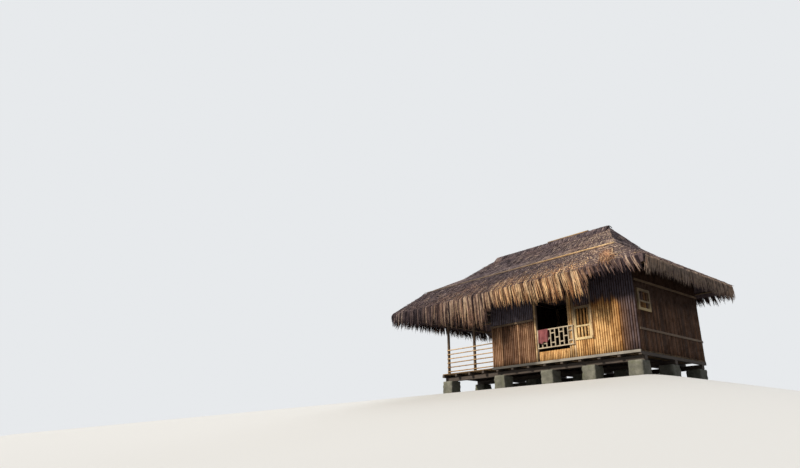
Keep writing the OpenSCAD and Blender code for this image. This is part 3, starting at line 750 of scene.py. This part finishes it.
# Tufts: their leaves, how far these spread and how much of that is left at the tips, and random differences
TUFT_LEAVES = 5
TUFT_SPREAD = 0.012
TUFT_CLOSING = 0.45
TUFT_TONE = 0.33
TUFT_LEAN = 0.03
TUFT_STAND = 0.01
# Leaves of a tuft: random differences
STRAND_ROOT = (-0.05, 0.22)
STRAND_SHORT = 0.45
STRAND_SCATTER = 0.008
STRAND_LIFT = (0.0, 0.025)
STRAND_WIDTH = (0.01, 0.024)
STRAND_TONE = 0.16
STRAND_WARMTH = (0.8, 1.15)
STRAND_SWAY = 0.01


def drops(name, c):
    """How far the fringe of a side hangs below the eave at the distances c along it."""
    drop = np.full(len(c), PLAIN_DROP)
    for start, end, first, last in FRINGE_TIERS if name == "front" else ():
        inside = (c >= start) & (c <= end)
        drop[inside] = first + (last - first) * (c[inside] - start) / (end - start)
    return drop


def fringe_leaves(name, seed):
    """Long leaves that bend over the eave of one side and hang in ragged tufts."""
    side = SIDES[name]
    rng = default_rng(seed)
    builder = Builder()
    low, high = side.extent(0.0)
    for pitch, depth, tone, least, most, root_low, root_high in FRINGE_LAYERS:
        tufts = int((high - low) / pitch)
        centre = low + (high - low) * (np.arange(tufts) + rng.uniform(0.05, 0.95, tufts)) / tufts
        if name == "front":
            centre = centre[(centre < SPARSE_FROM) | (rng.uniform(0, 1, tufts) < SPARSE_SHARE)]
            tufts = len(centre)
        reach = NOSE_EXTRA + drops(name, centre) * rng.uniform(least, most, tufts)
        tones = tone + rng.normal(0, TUFT_TONE, tufts)
        tones += side.level(centre, FRINGE_TONES, PLAIN_FRINGE_TONES[name])
        lean = rng.normal(0, TUFT_LEAN, tufts)
        stand = depth + rng.normal(0, TUFT_STAND, tufts)
        start = rng.uniform(root_low, root_high, tufts) * side.level(centre, ROOT_LEVELS, PLAIN_ROOT)
        tuft = np.repeat(np.arange(tufts), TUFT_LEAVES)
        count = len(tuft)
        spread = rng.normal(0, TUFT_SPREAD, count)
        t_root = start[tuft] + rng.uniform(*STRAND_ROOT, count)
        t_tip = -reach[tuft] * (1 - STRAND_SHORT * rng.beta(1.1, 2.6, count))
        share = (centre[tuft] + spread - low) / (high - low)
        c_root = side.within(np.clip(share, 0.002, 0.998), np.maximum(t_root, 0))
        c_tip = centre[tuft] + lean[tuft] + TUFT_CLOSING * spread + rng.normal(0, STRAND_SCATTER, count)
        c_tip = np.clip(c_tip, low, high)
        warm = side.level(c_tip, WARM_LEVELS, PLAIN_WARMTH) * rng.uniform(*STRAND_WARMTH, count)
        leaves(builder, side, (c_root, t_root), (c_tip, t_tip),
               (rng.uniform(*STRAND_LIFT, count), stand[tuft] + rng.normal(0, STRAND_SCATTER, count)),
               rng.uniform(*STRAND_WIDTH, count), rng, 5, (0.5 * warm, warm),
               tones[tuft] + rng.normal(0, STRAND_TONE, count), STRAND_SWAY, fold=True)
    builder.piece(f"fringe_{name}_leaves", STRAND_THATCH, "thatch", replaces=[f"fringe_{name}"])


# Ridge cap: its thickness, its crown by places across it and depths below the top, and how its leaves lie
CAP_T = 0.05
CROWN = [(-0.06, 0.012), (-0.03, 0.003), (0, 0), (0.03, 0.003), (0.06, 0.012)]
CAP_PITCH = 0.03
CAP_REACHES = [(0.3, 0.37), (0.2, 0.33), (0.12, 0.24), (0.04, 0.16)]
CAP_LENGTH = (0.16, 0.3)
CAP_WIDTH = (0.018, 0.04)
CAP_TONE = 0.4
CAP_CLUMPS = (4.0, 5.0, 3.0)


def cap_leaves(seed):
    """Leaves bent over the ridge that lie down both slopes on the CAD's cap."""
    rng = default_rng(seed)
    low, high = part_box("ridge_cap")
    half = (high.y - low.y) / 2
    middle = (high.y + low.y) / 2
    crown = high.z - RIDGE_Z
    edge = low.z - RIDGE_Z + CAP_T
    profile = [(-half - CAP_T, edge - CAP_T), (-half, edge)] + [(y, crown - depth) for y, depth in CROWN]
    builder = Builder()
    for sign in (1, -1):
        origin = (low.x if sign > 0 else high.x, middle, RIDGE_Z)
        surface = Surface(origin, (sign, 0, 0), (0, sign, 0), profile, 4)
        for reach in CAP_REACHES:
            count = int((high.x - low.x) / CAP_PITCH)
            c = (high.x - low.x) * rng.uniform(0, 1, count)
            tip = -rng.uniform(*reach, count)
            root = np.minimum(tip + rng.uniform(*CAP_LENGTH, count), CROWN[-1][0])
            tint = CAP_TONE + 0.25 * drifts(c, tip, *CAP_CLUMPS) + rng.normal(0, 0.15, count)
            leaves(builder, surface, (c, root), (c + rng.normal(0, 0.03, count), tip),
                   (rng.uniform(0, 0.008, count), rng.uniform(0, 0.018, count)),
                   rng.uniform(*CAP_WIDTH, count), rng, 4, (TOP_WARMTH, TOP_WARMTH), tint)
    builder.piece("ridge_cap_leaves", STRAND_THATCH, "thatch")


# Loose bunch of straw by the right end of the slope pole
BUNCH_C = (7.85, 8.15)
BUNCH_ROOT = (0.75, 1.15)
BUNCH_TIP = (-0.12, 0.35)
BUNCH_LEAN = 0.42


def straw_bunch(seed, count=110):
    rng = default_rng(seed)
    builder = Builder()
    c = rng.uniform(*BUNCH_C, count)
    t_root = rng.uniform(*BUNCH_ROOT, count)
    t_tip = np.minimum(rng.uniform(*BUNCH_TIP, count), t_root - 0.2)
    leaves(builder, SIDES["front"], (c, t_root), (c + rng.normal(BUNCH_LEAN, 0.08, count), t_tip),
           (rng.uniform(0.02, 0.05, count), rng.uniform(0.02, 0.06, count)),
           rng.uniform(0.012, 0.026, count), rng, 8, (0.6, 0.8), rng.normal(0.55, 0.22, count), sway=0.03)
    builder.piece("straw_bunch", STRAND_THATCH, "thatch")


def make_thatch():
    for index, name in enumerate(SIDES):
        roof_leaves(name, 11 + index)
        fringe_leaves(name, 21 + index)
        dress(f"thatch_{name}", UNDER_THATCH)
    cap_leaves(31)
    straw_bunch(32)
    dress("ridge_cap", UNDER_THATCH)


def dress(name, material, bevel=0.0):
    """Gives a CAD node its material, and softens its edges where asked."""
    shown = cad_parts[name]
    shown.data.materials.clear()
    shown.data.materials.append(material)
    if bevel:
        soft = shown.modifiers.new("edge", "BEVEL")
        soft.width = bevel
        soft.segments = 2
        soft.limit_method = "ANGLE"


# Walls of standing culms

CULM_PITCH = 0.068
CULM_GAP = 0.0004
CULM_LEAN = 0.002
WIDTH_LOSS = (0, 0.001)
DEPTH_LOSS = (0.001, 0.006)
# How strong the painted shade in the seams between wall culms is
WALL_SEAM_SHADE = 0.9
SHORTEST = 0.02
# An opening also cuts the culms whose middles are up to this share of a culm beside it
BESIDE = 0.2
# Heights between which tones fade from those in the light to those of a painted eave shade above
PAINTED_EAVE_SHADE = (1.84, 2.02)
HEIGHT_TONES = 24


def spans_without(low, high, openings):
    """The stretches of low to high that the openings leave."""
    spans = [(low, high)]
    for start, end in openings:
        spans = [part for a, b in spans for part in ((a, min(b, start)), (max(a, end), b))
                 if part[1] - part[0] > SHORTEST]
    return spans


def culm_wall(builder, start, end, rng, pitch, z_low, z_high, openings=(), tones=(0.15, 0.85)):
    """Standing culms between house places (x, y), cut off at the openings (start, width, sill, height)."""
    start, end = (np.array(at_house(*spot, 0).xy) for spot in (start, end))
    length = np.linalg.norm(end - start)
    direction = (end - start) / length
    count = max(1, round(length / pitch))
    step = length / count
    for i in range(count):
        at = (i + 0.5) * step
        spot = start + at * direction
        holes = [(sill, sill + height) for first, width, sill, height in openings
                 if first - BESIDE * step < at < first + width + BESIDE * step]
        least, most = tones(at) if callable(tones) else tones
        tint = rng.uniform(least, most)
        for low, high in spans_without(z_low, z_high, holes):
            width = step / 2 - CULM_GAP - rng.uniform(*WIDTH_LOSS)
            depth = WALL_MIDDLE - rng.uniform(*DEPTH_LOSS)
            lean = rng.uniform(-CULM_LEAN, CULM_LEAN) * direction
            # Tones fade to dark toward the top: painted eave shade
            fade = np.interp(np.linspace(low, high, HEIGHT_TONES), PAINTED_EAVE_SHADE, (1, 0))
            culm(builder, (*spot, low), (*(spot + lean), high), width, depth, rng, bend=0.002, taper=0.01,
                 tint=tint * fade, first=(*direction, 0), seam=WALL_SEAM_SHADE)


BAY_LEFT, BAY_RIGHT = (corner.x - HOUSE.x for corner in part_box("front_low_wall"))
LEFT_WALL_END = PANELS_END.x - HOUSE.x
WINDOW_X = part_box("front_wall_right")[0].x - HOUSE.x
# Openings: start along the wall, width, height of the sill, and height
WINDOW = (0, 0.53, FLOOR + 0.44, 0.9)
END_WINDOW = (0.15 - WALL_T, 0.6, FLOOR + 1.01, 0.56)
DOOR = (1.25 - WALL_T, 0.85, 0, FLOOR + 1.75)
PANEL_JOINT = 0.425
JOINT_HALF = 0.008
RAIL_H = 1.17
LOW_WALL_PITCH = 0.054
# Right of this the front wall's culms darken into a painted tree shadow, over this stretch
TREE_SHADE_FROM = 4.15
TREE_SHADE_STRETCH = 0.35
# One culm stands by itself left of the window, with its tones from floor to plate, dark at the top as painted
# eave shade
STRIP_X = 2.86
STRIP_HALF = 0.028
STRIP_TONES = (0.8, 0.8, 0.6, 0.1)


def left_panels(rng):
    """Two panels of strips left of the bay, browner below the middle rail and with painted eave shade above
    it.
    """
    lower, upper = Builder(), Builder()
    split = FLOOR + RAIL_H
    for start, end in ((0.0, PANEL_JOINT - JOINT_HALF), (PANEL_JOINT + JOINT_HALF, LEFT_WALL_END)):
        ends = (start, WALL_MIDDLE), (end, WALL_MIDDLE)
        culm_wall(lower, *ends, rng, CULM_PITCH, FLOOR, split, tones=(0.15, 0.9))
        culm_wall(upper, *ends, rng, CULM_PITCH, split, WALL_TOP)
    lower.piece("front_wall_left_culms", BROWN_BAMBOO, "bamboo_wall", replaces=["front_wall_left"])
    upper.piece("front_wall_left_upper_culms", PAINTED_SHADE_BAMBOO, "bamboo_wall")


def right_tones(at):
    """Bright culms that darken to brown toward the corner: a painted tree shadow."""
    tree_shade = min(1.0, max(0.0, (WINDOW_X + at - TREE_SHADE_FROM) / TREE_SHADE_STRETCH))
    return 0.5 - 0.46 * tree_shade, 1.18 - 1.02 * tree_shade


def long_wall(name, start, end, rng, material, openings=(), tones=(0.1, 0.8), z_high=WALL_TOP,
              pitch=CULM_PITCH, extra=None):
    builder = Builder()
    culm_wall(builder, start, end, rng, pitch, FLOOR, z_high, openings, tones)
    if extra:
        spot = at_house(*extra, 0).xy
        culm(builder, (*spot, FLOOR), (*spot, WALL_TOP), STRIP_HALF, STRIP_HALF, rng, tint=STRIP_TONES)
    builder.piece(f"{name}_culms", material, "bamboo_wall", replaces=[name])


def make_walls():
    mid = WALL_MIDDLE
    rng = default_rng(41)
    left_panels(rng)
    long_wall("front_low_wall", (BAY_LEFT, mid), (BAY_RIGHT, mid), rng, BRIGHT_BAMBOO, tones=(0.65, 1.15),
              z_high=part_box("front_low_wall")[1].z, pitch=LOW_WALL_PITCH)
    long_wall("front_wall_right", (WINDOW_X, mid), (ROOM_L, mid), rng, BRIGHT_BAMBOO, [WINDOW], right_tones,
              extra=(STRIP_X, mid))
    # The right end wall's dark tones are painted shade
    long_wall("right_wall", (ROOM_L - mid, WALL_T), (ROOM_L - mid, ROOM_W - WALL_T), rng, BROWN_BAMBOO,
              [END_WINDOW], (0.0, 0.4))
    long_wall("left_wall", (mid, WALL_T), (mid, ROOM_W - WALL_T), rng, BROWN_BAMBOO, [DOOR])
    long_wall("back_wall", (0, ROOM_W - mid), (ROOM_L, ROOM_W - mid), rng, BROWN_BAMBOO)


# Floors of split culms

FLOOR_PITCH = 0.062
FLOOR_GAP = 0.001


def make_floors():
    for index, name in enumerate(("house_floor", "veranda_floor")):
        low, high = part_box(name)
        builder = Builder()
        rng = default_rng(51 + index)
        count = round((high.y - low.y) / FLOOR_PITCH)
        step = (high.y - low.y) / count
        half = (high.z - low.z) / 2
        for i in range(count):
            y = low.y + (i + 0.5) * step
            culm(builder, (low.x + rng.uniform(0, 0.02), y, low.z + half),
                 (high.x - rng.uniform(0, 0.004), y, low.z + half), step / 2 - FLOOR_GAP, half - FLOOR_GAP,
                 rng, bend=0.001, taper=0.02, first=(0, 1, 0))
        builder.piece(f"{name}_strips", FLOOR_BAMBOO, "bamboo_floor", replaces=[name])


# Poles and timbers, each node with the range of its tones

# The veranda posts' dark tones are painted shade
POLE_TONES = {"house_posts": (0.2, 0.7), "veranda_posts": (0.0, 0.3), "roof_posts": (0.2, 0.6),
              "front_rafters": (0.1, 0.6), "back_rafters": (0.1, 0.6), "end_rafters": (0.1, 0.6),
              "hip_rafters": (0.1, 0.5), "front_purlins": (0.1, 0.6), "back_purlins": (0.1, 0.6),
              "end_purlins": (0.1, 0.6), "veranda_rails": (0.6, 1.0)}
# Tones of the front wall's posts from left to right, in the light and in the painted eave shade above
FACADE_TONES = [(0.85, 0.85), (0.1, 0.1), (0.75, 0.75), (1.0, 0.35), (0.9, 0.25)]
# Tones of the poles on the roof from end to end
ROOF_POLE_TONES = [(0.05, 0.1, 0.18, 0.35, 0.75, 1.0), (0.3, 0.7), (0.1, 0.3, 0.5)]


def pole_tint(name, number, p, q, rng):
    """Tone of a pole, or its tones from end to end."""
    if name == "facade_posts":
        return np.interp(np.linspace(p[2], q[2], HEIGHT_TONES), PAINTED_EAVE_SHADE, FACADE_TONES[number])
    if name == "roof_poles":
        return ROOF_POLE_TONES[number]
    return rng.uniform(*POLE_TONES[name])


def make_poles():
    for index, name in enumerate([*POLE_TONES, "facade_posts", "roof_poles"]):
        builder = Builder()
        rng = default_rng(61 + index)
        found = rods(name)
        if name == "roof_poles":
            found.sort(key=lambda rod: rod[0][1])
        for number, (p, q, diameter) in enumerate(found):
            tint = pole_tint(name, number, p, q, rng)
            radius = diameter / 2 / NODE_RISE
            culm(builder, p, q, radius, radius, rng, sides=10, taper=0.02, tint=tint)
        builder.piece(f"{name}_culms", POLE_BAMBOO, "bamboo_pole", replaces=[name])


def make_timbers():
    for name in ("floor_beams", "floor_joists", "front_plate", "back_plate", "tie_beams", "ring_beam",
                 "ridge_beam"):
        dress(name, DARK_TIMBER, 0.006)
    dress("front_sill", SILL_TIMBER, 0.004)
    dress("window_frames", CREAM_WOOD, 0.006)
    dress("wall_rails", RAIL_TIMBER, 0.006)
    dress("lattice_rail", LATTICE_WOOD, 0.005)


# Stone piers: cuts along an edge, wear of corners and faces, and depths of unevenness and chips
PIER_CUTS = 10
CORNER_SQUARENESS = 6
CORNER_WEAR = 0.035
ROUGHNESS = 0.02
FACE_WEAR = 0.012
CHIP = 0.03
CHIP_FROM = 0.25


def make_piers():
    for index, name in enumerate(("front_piers", "middle_piers", "back_piers")):
        builder = Builder()
        for number, points in enumerate(islands(name)):
            rough_block(builder, points.min(0), points.max(0), Vector((index * 7.3, number * 5.1, 2.2)))
        builder.piece(f"{name}_stones", STONE, "stone", replaces=[name])


def rough_block(builder, low, high, seed):
    """Hewn block: a subdivided box with worn corners and an uneven face, level below and above."""
    centre, half = (low + high) / 2, (high - low) / 2
    work = bmesh.new()
    bmesh.ops.create_cube(work, size=2.0)
    bmesh.ops.subdivide_edges(work, edges=work.edges, cuts=PIER_CUTS, use_grid_fill=True)
    for vert in work.verts:
        cube = vert.co.copy()
        corner = sum(abs(value) ** CORNER_SQUARENESS for value in cube)
        worn = 1 - CORNER_WEAR * max(0.0, corner - 1.0)
        rough = ROUGHNESS * noise.fractal(cube * 1.6 + seed, 0.8, 2.2, 5) - FACE_WEAR
        chip = -CHIP * max(0.0, noise.noise(cube * 2.4 + seed * 3) - CHIP_FROM)
        spot = Vector(np.array(cube) * worn * half) + cube.normalized() * (rough + chip)
        if abs(cube.z) > 0.999:
            spot.z = math.copysign(half[2], cube.z)
        vert.co = Vector(np.clip(np.array(spot), -half, half) + centre)
    work.verts.index_update()
    builder.add([v.co[:] for v in work.verts], [[v.index for v in f.verts] for f in work.faces])
    work.free()


# Window bars, and their tones in the lower and in the upper light of each window: darker in the upper light
# as painted eave shade, and dark in the end window as painted shade

BAR_COUNT = 4
BAR_D = 0.058
BAR_INTO_FRAME = 0.01
FRAME_SIDE = 0.065
FRAME_MID = 0.045
FRAME_MID_SHARE = 0.38
BAR_TONES = (0.95, 0.45)
END_BAR_TONES = (0.25, 0.15)
BAR_TONE_SPREAD = 0.12


def window_bars(builder, rng, x, y, along, window, tones):
    """Culms in the lower and upper lights of a window that starts at x and y."""
    _, width, sill, height = window
    clear = width - 2 * FRAME_SIDE
    middle = height * FRAME_MID_SHARE
    lights = (FRAME_SIDE, middle), (middle + FRAME_MID, height - FRAME_SIDE)
    for i in range(BAR_COUNT):
        spot = at_house(x, y, sill) + along * (FRAME_SIDE + clear * (i + 0.5) / BAR_COUNT)
        for (low, high), tone in zip(lights, tones):
            culm(builder, spot + Vector((0, 0, low - BAR_INTO_FRAME)),
                 spot + Vector((0, 0, high + BAR_INTO_FRAME)), BAR_D / 2, BAR_D / 2, rng, bend=0.001,
                 tint=tone + rng.uniform(-BAR_TONE_SPREAD, BAR_TONE_SPREAD))


def make_window_bars():
    rng = default_rng(91)
    builder = Builder()
    window_bars(builder, rng, WINDOW_X, WALL_MIDDLE, Vector((1, 0, 0)), WINDOW, BAR_TONES)
    window_bars(builder, rng, ROOM_L - WALL_MIDDLE, WALL_T + END_WINDOW[0], Vector((0, 1, 0)), END_WINDOW,
                END_BAR_TONES)
    builder.piece("window_bars", BRIGHT_BAMBOO, "bamboo_pole")


# Cloth over the lattice rail

CLOTH_W = 0.33
CLOTH_FRONT = 0.4
CLOTH_BACK = 0.24
CLOTH_T = 0.0025
CLOTH_CLEAR = 0.004
CLOTH_COLUMNS = 36
CLOTH_ROWS = 64
# Depths of its folds and hem, and the lengths over which the folds form below the rail
FOLD_DEPTH = 0.035
FOLD_FORMS = 0.2
BACK_FOLD_DEPTH = 0.012
BACK_FOLD_FORMS = 0.12
HEM_WAVE = 0.025
HEM_SLANT = 0.05
EDGE_WAVE = 0.006


def cloth_spot(u, s, low, bar_low, bar_high):
    """Place on the cloth at the share u of its width and the distance s from its front hem."""
    front_y, back_y = bar_low.y, bar_high.y
    fold = 0.5 + 0.5 * math.sin(u * 17 + 1.5 * math.sin(u * 6))
    x = low.x + CLOTH_W * u
    if s < CLOTH_FRONT:
        down = CLOTH_FRONT - s
        loose = min(1, down / FOLD_FORMS)
        hem = (HEM_WAVE * math.sin(u * 13) + HEM_SLANT * u) * min(1, down / CLOTH_FRONT) ** 3
        return (x + EDGE_WAVE * loose * math.sin(down * 14 + u * 3),
                front_y - CLOTH_CLEAR - FOLD_DEPTH * fold * loose, bar_high.z - down + hem)
    over = s - CLOTH_FRONT
    if over < back_y - front_y:
        share = over / (back_y - front_y)
        return x, front_y + over, bar_high.z + CLOTH_CLEAR + 0.002 * math.sin(share * math.pi)
    down = over - (back_y - front_y)
    loose = min(1, down / BACK_FOLD_FORMS)
    return x, back_y + CLOTH_CLEAR + BACK_FOLD_DEPTH * (1 - fold) * loose, bar_high.z - down


def make_cloth():
    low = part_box("hung_cloth")[0]
    bar_low, bar_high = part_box("lattice_rail")
    total = CLOTH_FRONT + (bar_high.y - bar_low.y) + CLOTH_BACK
    points = [cloth_spot(i / CLOTH_COLUMNS, total * j / CLOTH_ROWS, low, bar_low, bar_high)
              for j in range(CLOTH_ROWS + 1) for i in range(CLOTH_COLUMNS + 1)]
    builder = Builder()
    builder.add(points, grid_faces(CLOTH_COLUMNS, CLOTH_ROWS))
    cloth = builder.piece("red_cloth", CLOTH, "cloth", replaces=["hung_cloth"])
    thicken = cloth.modifiers.new("thickness", "SOLIDIFY")
    thicken.thickness = CLOTH_T


# Stage and light: the ground, with a finer grid near the house, and its colours to the camera and to light

FALL_X = 4.95
FALL_Y = -0.12
FALL_SLOPE = 0.21
FALL_ROUND = 0.35
FALL_DEPTH = 3.6
GROUND_X = np.concatenate([-np.geomspace(70, 6, 24), np.linspace(-5.6, 8.4, 71), np.geomspace(9, 80, 26)])
GROUND_Y = np.concatenate([-np.geomspace(70, 4, 30), np.linspace(-3.7, 5.0, 59), np.geomspace(5.5, 80, 20)])
FLOOR_SEEN = (0.7, 0.7, 0.69, 1)
FLOOR_BOUNCE = (0.26, 0.26, 0.26, 1)


def ground_height(x, y):
    """Level under the house, falling away in front of it and past its right end."""
    out = math.hypot(max(0.0, x - FALL_X), max(0.0, FALL_Y - y))
    fall = FALL_SLOPE * (math.sqrt(out * out + FALL_ROUND ** 2) - FALL_ROUND)
    return -FALL_DEPTH * math.tanh(fall / FALL_DEPTH)


def make_stage():
    quads = grid_faces(len(GROUND_X) - 1, len(GROUND_Y) - 1)
    mesh = bpy.data.meshes.new("ground")
    mesh.from_pydata([at_house(x, y, ground_height(x, y)) for y in GROUND_Y for x in GROUND_X], [], quads)
    mesh.polygons.foreach_set("use_smooth", [True] * len(quads))
    material, tree = new_material("pale_floor")[:2]
    seen = node(tree, "LightPath").outputs["Is Camera Ray"]
    mesh.materials.append(finished(material, mix(tree, seen, FLOOR_BOUNCE, FLOOR_SEEN), 0.95))
    show("ground", mesh)


def make_world():
    """Dim even light, and a pale backdrop for the camera and for reflections."""
    world = bpy.data.worlds.new("studio")
    bpy.context.scene.world = world
    world.use_nodes = True
    tree = world.node_tree
    tree.nodes.clear()
    soft = node(tree, "Background", {"Color": (0.84, 0.9, 1.0, 1), "Strength": 0.22})
    seen = node(tree, "Background", {"Color": (0.8, 0.82, 0.84, 1), "Strength": 1.0})
    path = node(tree, "LightPath").outputs
    shown = maths(tree, "MAXIMUM", path["Is Camera Ray"],
                  maths(tree, "MAXIMUM", path["Is Glossy Ray"], path["Is Transmission Ray"]))
    choose = node(tree, "MixShader", {0: shown, 1: soft.outputs[0], 2: seen.outputs[0]})
    node(tree, "OutputWorld", {"Surface": choose.outputs[0]})


def sun(name, heading, height, strength, angle, color):
    """Distant soft lamp: heading counted from the house's front toward its left, both angles in degrees."""
    data = bpy.data.lights.new(name, "SUN")
    data.energy = strength
    data.angle = math.radians(angle)
    data.color = color
    turn, lift = math.radians(heading), math.radians(height)
    toward = Vector((-math.sin(turn) * math.cos(lift), -math.cos(turn) * math.cos(lift), math.sin(lift)))
    show(name, data).rotation_euler = toward.to_track_quat("Z", "Y").to_euler()


def make_lights():
    sun("key", heading=17, height=35, strength=3.6, angle=5, color=(1.0, 0.93, 0.82))
    sun("fill", heading=165, height=40, strength=1.2, angle=50, color=(0.92, 0.95, 1.0))


bpy.context.scene.view_settings.view_transform = "Standard"
make_stage()
make_world()
make_lights()
make_thatch()
make_walls()
make_floors()
make_poles()
make_timbers()
make_piers()
make_window_bars()
make_cloth()
